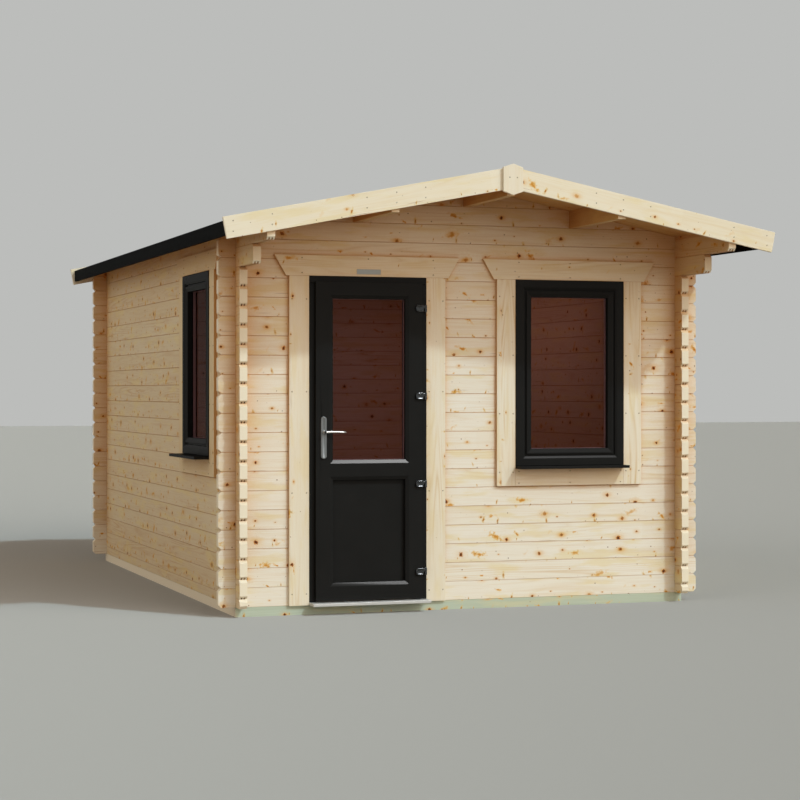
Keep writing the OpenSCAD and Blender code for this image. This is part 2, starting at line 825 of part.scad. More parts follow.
module window_sill() color(black_pvc)
    block([seat, -sill_reach, 0], [window_w - seat, frame_in, sill_t]);

module front_window_frame() at_front_window() window_frame();
module front_window_sash() at_front_window() window_sash();
module front_window_glass() at_front_window() window_glass();
module front_window_sill() at_front_window() window_sill();
module side_window_frame() at_side_window() window_frame();
module side_window_sash() at_side_window() window_sash();
module side_window_glass() at_side_window() window_glass();
module side_window_sill() at_side_window() window_sill();

bearers();
floor_joists();
floor_boards();
front_wall_left();
front_wall_middle();
front_wall_right();
front_wall_under_window();
front_gable();
back_wall();
left_wall_lower();
left_wall_front();
left_wall_rear();
left_wall_top();
right_wall();
right_wall_top();
ridge_beam();
purlins();
roof_boards_left();
roof_boards_right();
roof_felt_left();
roof_felt_right();
fascias();
front_bargeboards();
back_bargeboards();
finials();
door_trim();
front_window_trim();
side_window_trim();
door_frame();
door_threshold();
door_leaf();
door_glass();
door_panel();
hinge_posts();
hinge_flags();
handle_plates();
door_handle();
front_window_frame();
front_window_sash();
front_window_glass();
front_window_sill();
side_window_frame();
side_window_sash();
side_window_glass();
side_window_sill();
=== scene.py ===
import json
import math

import bpy
from mathutils import Matrix, Vector


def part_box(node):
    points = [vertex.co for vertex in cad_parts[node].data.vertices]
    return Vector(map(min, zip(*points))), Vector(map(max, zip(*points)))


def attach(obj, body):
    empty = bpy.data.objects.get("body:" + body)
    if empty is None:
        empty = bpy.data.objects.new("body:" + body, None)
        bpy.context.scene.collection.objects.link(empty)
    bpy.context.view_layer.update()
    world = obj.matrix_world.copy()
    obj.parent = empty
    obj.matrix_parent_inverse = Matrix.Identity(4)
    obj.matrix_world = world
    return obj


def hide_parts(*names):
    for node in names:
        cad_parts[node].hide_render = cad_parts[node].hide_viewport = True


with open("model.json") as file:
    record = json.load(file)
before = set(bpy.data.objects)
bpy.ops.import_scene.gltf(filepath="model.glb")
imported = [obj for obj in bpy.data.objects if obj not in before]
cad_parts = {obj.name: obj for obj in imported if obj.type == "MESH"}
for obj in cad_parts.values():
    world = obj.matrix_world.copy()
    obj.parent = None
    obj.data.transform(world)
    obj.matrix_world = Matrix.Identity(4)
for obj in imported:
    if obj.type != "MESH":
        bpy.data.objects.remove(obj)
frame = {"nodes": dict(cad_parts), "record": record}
bpy.ops.object.select_all(action="DESELECT")
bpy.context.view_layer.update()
nodes = frame["nodes"]


# ---- Bearers and joists ----
# Sawn softwood, pressure treated to a pale green and laid flat on the ground. The
# bearers run all round under the walls, and the joists between them carry the floor.

def paint(code):
    """A colour written as #rrggbb, as the linear values that a shader takes."""
    parts = [int(code[i:i + 2], 16) / 255 for i in (1, 3, 5)]
    return [c / 12.92 if c < 0.04045 else ((c + 0.055) / 1.055) ** 2.4 for c in parts] + [1.0]


def feed(tree, socket, value):
    """Links a socket to another node's output, or sets its value."""
    if isinstance(value, bpy.types.NodeSocket):
        tree.links.new(value, socket)
    else:
        socket.default_value = value


def node(tree, kind, inputs=None, **settings):
    """Adds a shader node, with its settings and its inputs by name or number."""
    made = tree.nodes.new("ShaderNode" + kind)
    for name, value in settings.items():
        setattr(made, name, value)
    for key, value in (inputs or {}).items():
        feed(tree, made.inputs[key], value)
    return made


def blank(name):
    """A new material with an empty node tree."""
    made = bpy.data.materials.new(name)
    made.use_nodes = True
    made.node_tree.nodes.clear()
    return made, made.node_tree


def surface(tree, shader):
    """Ends a material in its shader."""
    node(tree, "OutputMaterial", {0: shader.outputs[0]})


def calc(tree, operation, *values):
    """One step of arithmetic."""
    return node(tree, "Math", dict(enumerate(values)), operation=operation).outputs[0]


def mixed(tree, factor, first, second):
    """The first colour, turning into the second as the factor goes from 0 to 1."""
    made = node(tree, "Mix", {0: factor, 6: first, 7: second}, data_type="RGBA")
    return made.outputs[2]


def distance(tree, a, b):
    """How far a point lies from the middle, by its two offsets."""
    return calc(tree, "SQRT", calc(tree, "ADD", calc(tree, "POWER", a, 2.0),
                                   calc(tree, "POWER", b, 2.0)))


def bell(tree, value):
    """1 at the middle, and falling away to 0 round it."""
    return calc(tree, "EXPONENT", calc(
        tree, "MULTIPLY", calc(tree, "POWER", value, 2.0), -1.0))


def ramp(tree, value, low, high, start, end):
    """Takes a value from low..high to start..end, eased at both ends."""
    made = node(tree, "MapRange", {0: value, 1: low, 2: high, 3: start, 4: end},
                interpolation_type="SMOOTHSTEP")
    return made.outputs[0]


def grain_noise(tree, scale, u, v, w, detail=2.0):
    """Noise stretched along the grain, by a scale for each direction."""
    place = node(tree, "CombineXYZ", {0: calc(tree, "MULTIPLY", u, scale[0]),
                                      1: calc(tree, "MULTIPLY", v, scale[1]),
                                      2: calc(tree, "MULTIPLY", w, scale[2])})
    made = node(tree, "TexNoise", {"Vector": place.outputs[0], "Scale": 1.0,
                                   "Detail": detail, "Roughness": 0.55})
    return made.outputs["Fac"]


def marks(tree, u, v, row, reach, step, share, sizes, shape=(1.0, 1.0), tilt=0.0):
    """Scattered marks, each an oval of its own size and lean. A cell is reach long and
    step high, and a share of the cells hold one mark. Gives the distance over the mark's
    size, the offsets from its middle, its size, 1 where there is a mark, and a chance."""
    # Cells from one row's marks to the next row's, how far a mark strays in its cell, and
    # how much rarer the large marks are
    row_shift, stray, rarity = 7.0, 0.85, 2.0
    a = calc(tree, "DIVIDE", u, reach)
    b = calc(tree, "ADD", calc(tree, "DIVIDE", v, step),
             calc(tree, "MULTIPLY", row, row_shift))
    cell = node(tree, "TexVoronoi", {
        "Vector": node(tree, "CombineXYZ", {0: a, 1: b}).outputs[0],
        "Scale": 1.0, "Randomness": stray}, voronoi_dimensions="2D")
    pick = node(tree, "SeparateColor", {0: cell.outputs["Color"]}).outputs
    middle = node(tree, "SeparateXYZ", {0: cell.outputs["Position"]}).outputs
    du = calc(tree, "MULTIPLY", calc(tree, "SUBTRACT", a, middle[0]), reach)
    dv = calc(tree, "MULTIPLY", calc(tree, "SUBTRACT", b, middle[1]), step)
    size = ramp(tree, calc(tree, "POWER", pick[0], rarity), 0.0, 1.0, sizes[0], sizes[1])
    lean = node(tree, "VectorRotate", {
        "Vector": node(tree, "CombineXYZ", {0: du, 1: dv}).outputs[0],
        "Angle": calc(tree, "MULTIPLY", calc(tree, "SUBTRACT", pick[2], 0.5), 2.0 * tilt)},
        rotation_type="Z_AXIS")
    leant = node(tree, "SeparateXYZ", {0: lean.outputs[0]}).outputs
    away = distance(tree, calc(tree, "DIVIDE", leant[0], shape[0]),
                    calc(tree, "DIVIDE", leant[1], shape[1]))
    there = calc(tree, "LESS_THAN", pick[1], share)
    return calc(tree, "DIVIDE", away, size), du, dv, size, there, pick[2]


def timber(name, along, across, start=0.0, step=0.116, last=500, walls=(0.0, 50.0),
           turn=0.0, pale="#ece9e2", warm="#cfae78", knotty=0.5, spiked=0.3, figure=0.5,
           seam_dirt_and_shade=0.0, painted_shade=0.0, seed=0.0):
    """Planed or sawn wood, with its grain along one axis. Each log or board of a wall
    takes its own piece of the pattern: they lie one step apart across the grain."""
    made, tree = blank(name)
    here = node(tree, "TexCoord")
    place = here.outputs["Object"]
    if turn:
        place = node(tree, "Mapping", {"Vector": place, "Rotation": (0, turn, 0)}).outputs[0]
    axes = node(tree, "SeparateXYZ", {0: place}).outputs
    third = "XYZ".replace(along, "").replace(across, "")
    u, v, w = (axes["XYZ".index(a)] for a in (along, across, third))

    # From here u runs along the grain, v up from the lower edge of a log, and w through it.
    # Each log has its pattern moved along the grain, the far wall has other seeds, and each
    # stretch of a log has a tone of its own.
    log_shift, far_seed, stretch_length = 40.0, 61.0, 1.37
    far = calc(tree, "GREATER_THAN", w, sum(walls) / 2)
    w = calc(tree, "SUBTRACT", calc(tree, "SUBTRACT", w, walls[0]),
             calc(tree, "MULTIPLY", far, walls[1] - walls[0]))
    v = calc(tree, "SUBTRACT", v, start)
    row = calc(tree, "MINIMUM", calc(tree, "FLOOR", calc(tree, "DIVIDE", v, step)), last)
    v = calc(tree, "SUBTRACT", v, calc(tree, "MULTIPLY", row, step))
    log = calc(tree, "ADD", calc(tree, "ADD", row, seed),
               calc(tree, "MULTIPLY", far, far_seed))
    deep = calc(tree, "ADD", w, log)
    chance = node(tree, "TexWhiteNoise", {"W": log}, noise_dimensions="1D")
    tone = node(tree, "SeparateColor", {0: chance.outputs["Color"]}).outputs
    u = calc(tree, "ADD", u, calc(tree, "MULTIPLY", chance.outputs["Value"], log_shift))
    stretch = node(tree, "TexWhiteNoise", {"W": calc(tree, "ADD", log, calc(
        tree, "FLOOR", calc(tree, "DIVIDE", u, stretch_length)))}, noise_dimensions="1D")

    def scattered(shift, reach, height, share, sizes, shape=(1.0, 1.0), tilt=0.0):
        """Marks of one kind, which have their own shift along the grain."""
        return marks(tree, calc(tree, "ADD", u, shift), v, log, reach, height, share, sizes,
                     shape, tilt)

    # Round knots, spike knots across the grain, splashes of resin, pin knots and shakes
    wander = grain_noise(tree, (110, 110, 110), u, v, w)
    wobble = ramp(tree, wander, 0.3, 0.7, 0.7, 1.35)
    ratio, du, dv, size, there, kind = scattered(0.0, 0.17, step, knotty, (0.0035, 0.0135))
    ratio = calc(tree, "MULTIPLY", ratio, wobble)
    spike, _, _, _, split, spike_kind = scattered(
        5.7, 0.1, step, spiked, (0.0022, 0.0055), (1.0, 2.6), 0.5)
    spike = calc(tree, "MULTIPLY", spike, wobble)
    splash, _, _, _, spilt, splash_kind = scattered(
        2.2, 0.21, step, knotty * 0.95, (0.006, 0.0165), (2.2, 0.8), 1.0)
    splash = calc(tree, "MULTIPLY", splash, ramp(tree, grain_noise(
        tree, (60, 60, 60), u, v, w), 0.3, 0.7, 0.5, 1.7))
    pin, _, _, _, pinned, pin_kind = scattered(
        3.3, 0.07, step / 2, knotty * 0.6, (0.001, 0.0034))
    shake, _, _, _, shaken, _ = scattered(
        8.1, 0.5, step, knotty * 0.5, (0.0007, 0.0011), (75.0, 1.0), 0.02)

    # The grain parts round a knot
    narrower, parting = 0.4, 0.85
    near = calc(tree, "MULTIPLY", there, bell(tree, calc(
        tree, "MULTIPLY", ratio, narrower)))
    bent = calc(tree, "SUBTRACT", v, calc(
        tree, "MULTIPLY", calc(tree, "MULTIPLY", dv, near), parting))

    # Growth lines, livelier in some places than in others, fibres, streaks and patches
    line_count, line_sharpness = 14.0, 2.6
    field = grain_noise(tree, (0.5, 9.0, 6.0), u, bent, deep, 1.0)
    line = calc(tree, "PINGPONG", calc(tree, "MULTIPLY", field, line_count), 0.5)
    line = calc(tree, "POWER", calc(tree, "MULTIPLY", line, 2.0), line_sharpness)
    cloud = grain_noise(tree, (1.3, 7.0, 3.0), u, v, deep)
    lively = calc(tree, "MULTIPLY", ramp(tree, cloud, 0.4, 0.68, 0.1, 1.0), ramp(
        tree, tone[1], 0.35, 0.95, 0.5, 1.5))
    line = calc(tree, "MULTIPLY", calc(tree, "MULTIPLY", line, lively), figure)
    fibre = grain_noise(tree, (5.0, 240.0, 240.0), u, bent, w, 3.0)
    streak = grain_noise(tree, (1.4, 40.0, 40.0), u, bent, deep)
    patch = grain_noise(tree, (3.2, 17.0, 17.0), u, v, deep, 3.0)

    colour = mixed(tree, calc(tree, "MULTIPLY", line, 0.8), paint(pale), paint(warm))
    colour = mixed(tree, ramp(tree, streak, 0.5, 0.8, 0.0, 0.24), colour, paint(warm))
    colour = mixed(tree, ramp(tree, fibre, 0.45, 0.8, 0.0, 0.2), colour, paint(warm))
    colour = mixed(tree, ramp(tree, patch, 0.5, 0.66, 0.0, 0.15 + 0.5 * knotty), colour,
                   paint("#e2d096"))
    colour = mixed(tree, calc(tree, "MULTIPLY", tone[0], 0.1), colour, paint(warm))
    colour = mixed(tree, calc(tree, "MULTIPLY", stretch.outputs["Value"], 0.13), colour,
                   paint("#d0ba8c"))

    # End grain, also on the bevels of the ends, with rings about a heart outside the log
    end_slope, rings_per_metre, ring_wave = 0.3, 260.0, 0.004
    face = node(tree, "SeparateXYZ", {0: here.outputs["Normal"]}).outputs["XYZ".index(along)]
    end = calc(tree, "GREATER_THAN", calc(tree, "ABSOLUTE", face), end_slope)
    side = calc(tree, "SUBTRACT", 1.0, end)
    across_heart = calc(tree, "SUBTRACT", v, calc(tree, "MULTIPLY", tone[1], step))
    deep_heart = calc(tree, "ADD", w, ramp(tree, tone[2], 0.0, 1.0, -0.05, 0.05))
    ring = calc(tree, "ADD", distance(tree, across_heart, deep_heart),
                calc(tree, "MULTIPLY", wander, ring_wave))
    ring = calc(tree, "PINGPONG", calc(tree, "MULTIPLY", ring, rings_per_metre), 0.5)
    end_colour = mixed(tree, ring, paint("#f0eadc"), paint("#dccba6"))
    colour = mixed(tree, end, colour, end_colour)

    # A stain round each knot, longer along the grain
    along_share, stain_size = 0.6, 1.5
    away = distance(tree, calc(tree, "MULTIPLY", du, along_share), dv)
    away = calc(tree, "DIVIDE", away, calc(tree, "MULTIPLY", size, stain_size))
    halo = calc(tree, "MULTIPLY", calc(tree, "MULTIPLY", bell(tree, away), there),
                ramp(tree, streak, 0.3, 0.6, 0.35, 0.9))
    colour = mixed(tree, calc(tree, "MULTIPLY", halo, side), colour, paint("#dcae5c"))

    def drawn(where, value, low, high, most, chance=None, least=0.3):
        """How strong a mark is: full inside low, none past high, and weaker by chance."""
        strength = calc(tree, "MULTIPLY", where, ramp(tree, value, low, high, most, 0.0))
        if chance:
            strength = calc(tree, "MULTIPLY", strength,
                            ramp(tree, chance, 0.05, 0.6, least, 1.0))
        return strength

    knot = drawn(there, ratio, 0.75, 1.1, 1.0, kind, 0.55)
    layers = {
        "resin": (drawn(spilt, splash, 0.3, 1.5, 0.85, splash_kind, 0.25), "#e0b450"),
        "thick resin": (drawn(spilt, splash, 0.15, 0.85, 0.9, splash_kind, 0.0), "#c6821c"),
        "stain of a spike knot": (drawn(split, spike, 0.7, 2.2, 0.6), "#dcb858"),
        "spike knot": (drawn(split, spike, 0.3, 1.15, 1.0, spike_kind), "#b0711a"),
        "round knot": (knot, "#c47f28"),
        "heart of a knot": (drawn(there, ratio, 0.4, 0.85, 1.0, kind, 0.1), "#5a2a0c"),
        "pin knot": (drawn(pinned, pin, 0.7, 1.3, 1.0, pin_kind), "#7a4818"),
        "shake": (drawn(shaken, shake, 0.6, 1.1, 0.85), "#8a4f1d"),
    }
    for layer, code in layers.values():
        colour = mixed(tree, calc(tree, "MULTIPLY", layer, side), colour, paint(code))

    if seam_dirt_and_shade:
        # A log is darker along its joints, partly dirt and partly painted shade in the V
        # between two logs. The grooves over the two tongues are painted dark where the ends are
        # bevelled: painted shade over the real shade of the grooves.
        tongue_from_middle, groove_depth = 0.008, 0.0105
        edge = calc(tree, "MINIMUM", v, calc(tree, "SUBTRACT", step, v))
        joint = ramp(tree, edge, 0.001, 0.0032, seam_dirt_and_shade, 0.0)
        colour = mixed(tree, calc(tree, "MULTIPLY", side, joint), colour, paint("#b0703c"))
        painted_groove_shade = calc(tree, "ABSOLUTE", calc(
            tree, "SUBTRACT", calc(tree, "ABSOLUTE", w), tongue_from_middle))
        painted_groove_shade = calc(tree, "MULTIPLY", ramp(tree, painted_groove_shade, 0.003, 0.0045, 1.0, 0.0),
                      calc(tree, "LESS_THAN", v, groove_depth))
        colour = mixed(tree, calc(tree, "MULTIPLY", painted_groove_shade, end), colour, paint("#6a3d1a"))

    if painted_shade:
        # Painted shade: under the canopy, and in the corners where two walls cross, the colour
        # is darkened and warmed by how closed in the wood is, standing in for the light bounced
        # off the wood round it. Each row has how far the wood round it is felt, the openness at
        # which the painted shade is full and gone, the heights over which it sets in, its share
        # below them, and the tint.
        for reach, full, clear, low_z, high_z, least, tint in (
                (1.2, 0.4, 1.0, 0.4, 1.2, 0.1, (1.0, 0.72, 0.42, 1.0)),
                (0.22, 0.55, 0.88, 0.15, 0.35, 0.0, (0.78, 0.54, 0.33, 1.0))):
            close = node(tree, "AmbientOcclusion", {"Distance": reach}, samples=4).outputs["AO"]
            amount = calc(tree, "MULTIPLY", ramp(tree, close, full, clear, painted_shade, 0.0),
                          ramp(tree, axes[2], low_z, high_z, least, 1.0))
            painted_shade_mix = node(tree, "Mix", {0: amount, 6: colour, 7: tint},
                          data_type="RGBA", blend_type="MULTIPLY")
            colour = painted_shade_mix.outputs[2]

    height = calc(tree, "ADD", calc(tree, "MULTIPLY", fibre, 0.5), calc(
        tree, "ADD", calc(tree, "MULTIPLY", line, 0.3), calc(tree, "MULTIPLY", knot, 0.5)))
    bump = node(tree, "Bump", {"Height": height, "Strength": 0.35, "Distance": 0.0006})
    shader = node(tree, "BsdfPrincipled", {
        "Base Color": colour, "Normal": bump.outputs[0], "Specular IOR Level": 0.25,
        "Roughness": ramp(tree, fibre, 0.3, 0.8, 0.52, 0.68)})
    surface(tree, shader)
    return made


def dress(material, *names):
    """Gives CAD nodes a material."""
    for name in names:
        nodes[name].material_slots[0].material = material


bearer_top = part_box("bearers")[1].z
dress(timber("treated_bearers", "X", "Z", step=bearer_top, last=0, pale="#b8c5b8",
             warm="#97a38a", knotty=0.25, figure=0.6), "bearers")
dress(timber("treated_joists", "X", "Z", step=bearer_top, last=0, pale="#bfc1a8",
             warm="#9da07c", knotty=0.25, figure=0.6, seed=9.0), "floor_joists")


# ---- Floor ----
# Tongued and grooved spruce boards, nailed down across the joists. Their long edges
# are eased, which leaves a fine V at each joint.

def settle(name):
    """Names the primitive just added, and puts its place, turn and size in its mesh."""
    piece = bpy.context.object
    piece.name = piece.data.name = name
    bpy.ops.object.transform_apply(location=True, rotation=True, scale=True)
    return piece


def block(name, low, high):
    """A rectangular piece between two corners."""
    bpy.ops.mesh.primitive_cube_add(size=1, location=[(a + b) / 2 for a, b in zip(low, high)],
                                    scale=[b - a for a, b in zip(low, high)])
    return settle(name)


def edit_all():
    """Goes into edit mode with all of the active piece selected."""
    bpy.ops.object.mode_set(mode="EDIT")
    bpy.ops.mesh.select_all(action="SELECT")


def leave_edit():
    """Goes back to object mode."""
    bpy.ops.object.mode_set(mode="OBJECT")


def ease(width, segments=1):
    """Takes the sharpness off every edge of the active piece."""
    edit_all()
    bpy.ops.mesh.bevel(offset=width, segments=segments, affect="EDGES", clamp_overlap=True)
    leave_edit()


def repeat(piece, count, step):
    """Lays copies of a board side by side in one piece."""
    array = piece.modifiers.new("repeat", "ARRAY")
    array.count = count
    array.use_relative_offset = False
    array.use_constant_offset = True
    array.constant_offset_displace = step
    bpy.ops.object.modifier_apply(modifier=array.name)


def finish(piece, material, body, slot, *replaced):
    """Gives a finished piece its material and its body. Its slot is not used."""
    piece.data.materials.clear()
    piece.data.materials.append(material)
    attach(piece, body)
    if replaced:
        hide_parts(*replaced)
    piece.select_set(False)


gap = 0.0004  # left between two pieces that touch
eased = 0.0015
low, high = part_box("floor_boards")
board_count = 22
board_step = (high.x - low.x) / board_count
floor = block("floor_planks", low, (low.x + board_step - gap, high.y, high.z))
ease(eased)
repeat(floor, board_count, (board_step, 0, 0))
finish(floor, timber("floor_spruce", "Y", "X", start=low.x, step=board_step, pale="#d8c49c",
                     knotty=0.4, figure=0.8, seed=3.0),
       "cabin", "spruce_boards", "floor_boards")


# ---- Walls ----
# Machined spruce logs, laid dry with two tongues and grooves to a joint. They lock
# into each other where two walls cross, and run on past the crossing.

log_step = 0.108
front_face, back_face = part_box("front_wall_left")[0].y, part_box("back_wall")[1].y
side_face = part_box("bearers")[1].x
half_log = 0.022
dress(timber("gable_logs", "X", "Z", start=bearer_top, step=log_step,
             walls=(front_face + half_log, back_face - half_log), knotty=0.62, spiked=0.3,
             figure=0.6, seam_dirt_and_shade=0.32, painted_shade=0.75, seed=21.0),
      "front_wall_left", "front_wall_middle", "front_wall_right", "front_wall_under_window",
      "front_gable", "back_wall")
# The side walls take a darker, more golden wood than the front and back: painted shade of the
# left wall, which stands out of the key light, given to both side walls.
dress(timber("side_logs", "Y", "Z", start=bearer_top - log_step / 2, step=log_step, last=19,
             walls=(half_log - side_face, side_face - half_log), pale="#dccdb0",
             warm="#c09055", knotty=0.85, spiked=0.5, figure=0.6, seam_dirt_and_shade=0.32, painted_shade=0.7,
             seed=140.0),
      "left_wall_lower", "left_wall_front", "left_wall_rear", "left_wall_top", "right_wall",
      "right_wall_top")


# ---- Roof beams ----
# The ridge beam and the two purlins are logs that sit in notches in the gables and
# run on to the front edge of the canopy.

# Each beam has rows of the pattern to itself, with the heart of its rings near its foot. The
# beams take a darker, more golden wood: painted shade, as they show mostly under the canopy.
dress(timber("roof_beams", "Y", "X", start=-0.7, step=0.35, walls=(2.25, 90.0),
             pale="#d2b88c", warm="#b68148", knotty=0.6, figure=0.5, painted_shade=0.8, seed=7.0),
      "ridge_beam", "purlins")


# ---- Roof boards ----
# Tongued and grooved boards from the ridge to the eaves, nailed down to the beams.
# Their faces show under the canopy.

pitch = math.radians(11.1)


def slope(side):
    """The direction down one slope of the roof, and the direction straight out of it."""
    return (Vector((side * math.cos(pitch), 0, -math.sin(pitch))),
            Vector((side * math.sin(pitch), 0, math.cos(pitch))))


def sloped_board(name, side, middle, size):
    """A board that lies along one slope of the roof."""
    bpy.ops.mesh.primitive_cube_add(size=1, location=middle, rotation=(0, side * pitch, 0),
                                    scale=size)
    return settle(name)


roof_board_count, roof_board_t, roof_eased = 42, 0.018, 0.0018
for side, name in ((-1, "left"), (1, "right")):
    low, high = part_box("roof_boards_" + name)
    eaves = Vector((low.x if side < 0 else high.x, 0, low.z))
    down, out = slope(side)
    lean = roof_board_t * math.tan(pitch)
    length = (high.x - low.x) / math.cos(pitch) - lean - gap
    width = (high.y - low.y) / roof_board_count
    middle = eaves - down * (lean + length / 2) + out * roof_board_t / 2
    middle.y = low.y + width / 2
    boards = sloped_board("roof_planks_" + name, side, middle,
                          (length, width - gap, roof_board_t))
    ease(roof_eased)
    repeat(boards, roof_board_count, (0, width, 0))
    # The boards take a darker, more orange wood: painted shade, as their faces show only under
    # the canopy.
    spruce = timber("roof_spruce_" + name, "X", "Y", start=low.y, step=width,
                    turn=-side * pitch, pale="#cfa976", warm="#a9723a", knotty=0.4,
                    figure=0.6, painted_shade=0.6, seed=31.0 + side * 40)
    finish(boards, spruce, "cabin", "spruce_boards", "roof_boards_" + name)


# ---- Roof felt ----
# Black mineral felt in strips along the roof. The upper strip of each slope laps over
# the lower one, a cap strip covers the ridge, and the felt is turned down over the fascias.

felt, tree = blank("mineral_felt")
place = node(tree, "TexCoord").outputs["Object"]
grit = node(tree, "TexVoronoi", {"Vector": place, "Scale": 700.0})
grain = node(tree, "SeparateColor", {0: grit.outputs["Color"]}).outputs[0]
wear = node(tree, "TexNoise", {"Vector": place, "Scale": 3.0, "Detail": 5.0})
colour = mixed(tree, ramp(tree, grain, 0.55, 1.0, 0.0, 0.5), paint("#060606"), paint("#1c1c1b"))
colour = mixed(tree, ramp(tree, wear.outputs["Fac"], 0.5, 0.75, 0.0, 0.25), colour,
               paint("#131313"))
bump = node(tree, "Bump", {"Height": grit.outputs["Distance"], "Strength": 0.4,
                           "Distance": 0.0008})
shader = node(tree, "BsdfPrincipled", {
    "Base Color": colour, "Roughness": ramp(tree, grain, 0.0, 1.0, 0.75, 0.95),
    "Specular IOR Level": 0.05, "Normal": bump.outputs[0]})
surface(tree, shader)
dress(felt, "roof_felt_left", "roof_felt_right", "fascias")


def pick(kind, test):
    """Selects the parts of the active piece that pass a test: points by their place,
    edges by their two ends, faces by their normal and middle. Stays in edit mode."""
    bpy.ops.object.mode_set(mode="EDIT")
    bpy.ops.mesh.select_mode(type=kind)
    bpy.ops.mesh.select_all(action="DESELECT")
    leave_edit()
    mesh = bpy.context.object.data
    if kind == "VERT":
        for point in mesh.vertices:
            point.select = test(point.co)
    elif kind == "EDGE":
        for edge in mesh.edges:
            edge.select = test(*(mesh.vertices[i].co for i in edge.vertices))
    else:
        for face in mesh.polygons:
            face.select = test(face.normal, face.center)
    bpy.ops.object.mode_set(mode="EDIT")


def faces_front(normal, middle):
    """Passes the faces that look forward."""
    return normal.y < -0.9


felt_low, felt_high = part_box("roof_felt_right")
ridge_top, felt_length = felt_high.z, felt_high.y - felt_low.y
strip_t, strip_w, strip_eased = 0.002, 0.72, 0.0006
from_ridge, from_ends = 0.001, 0.002
for side, name in ((-1, "left"), (1, "right")):
    down, out = slope(side)
    middle = (Vector((0, 0, ridge_top)) + down * (strip_w / 2 + from_ridge)
              + out * (strip_t / 2))
    strip = sloped_board("upper_felt_" + name, side, middle,
                         (strip_w, felt_length - 2 * from_ends, strip_t))
    ease(strip_eased)
    finish(strip, felt, "cabin", "roof_felt")

cap_w, cap_from_ends = 0.15, 0.003
cap_drop, cap_lift = cap_w * math.tan(pitch), 1.6 * strip_t
bpy.ops.mesh.primitive_plane_add(size=1, location=(0, 0, ridge_top + cap_lift - cap_drop))
bpy.context.object.scale = (2 * cap_w, felt_length - 2 * cap_from_ends, 1)
cap = settle("ridge_cap_felt")
edit_all()
bpy.ops.mesh.subdivide(number_cuts=1)
pick("VERT", lambda co: abs(co.x) < cap_w / 2)
bpy.ops.transform.translate(value=(0, 0, cap_drop))
leave_edit()
thick = cap.modifiers.new("thickness", "SOLIDIFY")
thick.thickness = strip_t
thick.offset = 1.0
bpy.ops.object.modifier_apply(modifier=thick.name)
finish(cap, felt, "cabin", "roof_felt")


# ---- Bargeboards and finials ----
# Planed spruce boards that close both ends of the roof, nailed to the ends of the
# beams. A short pointed board covers the joint of each pair.

barge_t, barge_w, round_steps = 0.02, 0.116, 2
past_ridge = 0.04  # cut off plumb once the board is in its place
for end, seed in (("front", 55.0), ("back", 54.0)):
    low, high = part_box(end + "_bargeboards")
    for side, name in ((-1, "left"), (1, "right")):
        down, out = slope(side)
        reach = high.x / math.cos(pitch)
        middle = (Vector((0, (low.y + high.y) / 2, high.z))
                  + down * ((reach - past_ridge) / 2) - out * (barge_w / 2))
        board = sloped_board(end + "_bargeboard_" + name, side, middle,
                             (reach + past_ridge, barge_t, barge_w))
        edit_all()
        bpy.ops.mesh.bisect(plane_co=(side * gap / 2, 0, 0), plane_no=(-side, 0, 0),
                            use_fill=True, clear_outer=True)
        leave_edit()
        ease(eased, round_steps)
        spruce = timber(board.name, "X", "Z", start=high.z * math.cos(pitch) - barge_w,
                        step=barge_w, last=0, turn=-side * pitch, pale="#ebe4d4",
                        warm="#d8bd88", knotty=0.5, spiked=0.4, figure=0.5,
                        seed=seed + side * 3)
        finish(board, spruce, "cabin", "planed_boards", end + "_bargeboards")

low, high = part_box("finials")
finial_spruce = timber("finial_spruce", "Z", "X", start=-barge_w / 2, step=barge_w,
                       pale="#e8e0d0", warm="#d6b682", knotty=0.0, spiked=0.0, figure=0.35,
                       seed=61.0)
point, head_room = 0.019, 0.001  # the height of the points, and room for the screw heads
for end, y in (("front", low.y + head_room), ("back", high.y - barge_t)):
    finial = block(end + "_finial", (low.x, y, low.z + point),
                   (high.x, y + barge_t - head_room, high.z - point))
    edit_all()
    bpy.ops.mesh.bisect(plane_co=(0, 0, 0), plane_no=(1, 0, 0))
    middle = (low.z + high.z) / 2
    for upward in (1, -1):
        pick("VERT", lambda co: abs(co.x) < high.x / 2 and (co.z - middle) * upward > 0)
        bpy.ops.transform.translate(value=(0, 0, upward * point))
    bpy.ops.mesh.select_all(action="SELECT")
    bpy.ops.mesh.dissolve_limited(angle_limit=math.radians(2))
    leave_edit()
    ease(eased, round_steps)
    finish(finial, finial_spruce, "cabin", "planed_boards", "finials")


# ---- Boards round the openings ----
# Planed spruce boards, screwed to the logs round the door and the windows: a board
# up each side, one under each window, and a head board with slanted ends.

trim_t, trim_w, sill_board_w = 0.019, 0.116, 0.1
face_y = front_face - trim_t
low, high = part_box("door_frame")
door_x0, door_x1, door_top = low.x, high.x, high.z
low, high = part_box("front_window_frame")
win_x0, win_x1, win_top = low.x, high.x, high.z
win_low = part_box("front_window_sill")[0].z


def trim_spruce(name, along, across, start, step, seed, pale="#ebe6da", warm="#d2b684",
                figure=1.1):
    """The wood of the boards round the openings."""
    return timber(name, along, across, start=start, step=step, pale=pale, warm=warm,
                  knotty=0.3, spiked=0.1, figure=figure, painted_shade=0.75, seed=seed)


# The level boards lie further apart than the upright ones, one to a row of the pattern.
level_start, level_step = -0.3, 0.45
upright_spruce = trim_spruce("upright_spruce", "Z", "X", door_x0 - trim_w, trim_w, 70.0)
level_spruce = trim_spruce("level_spruce", "X", "Z", level_start, level_step, 72.0)
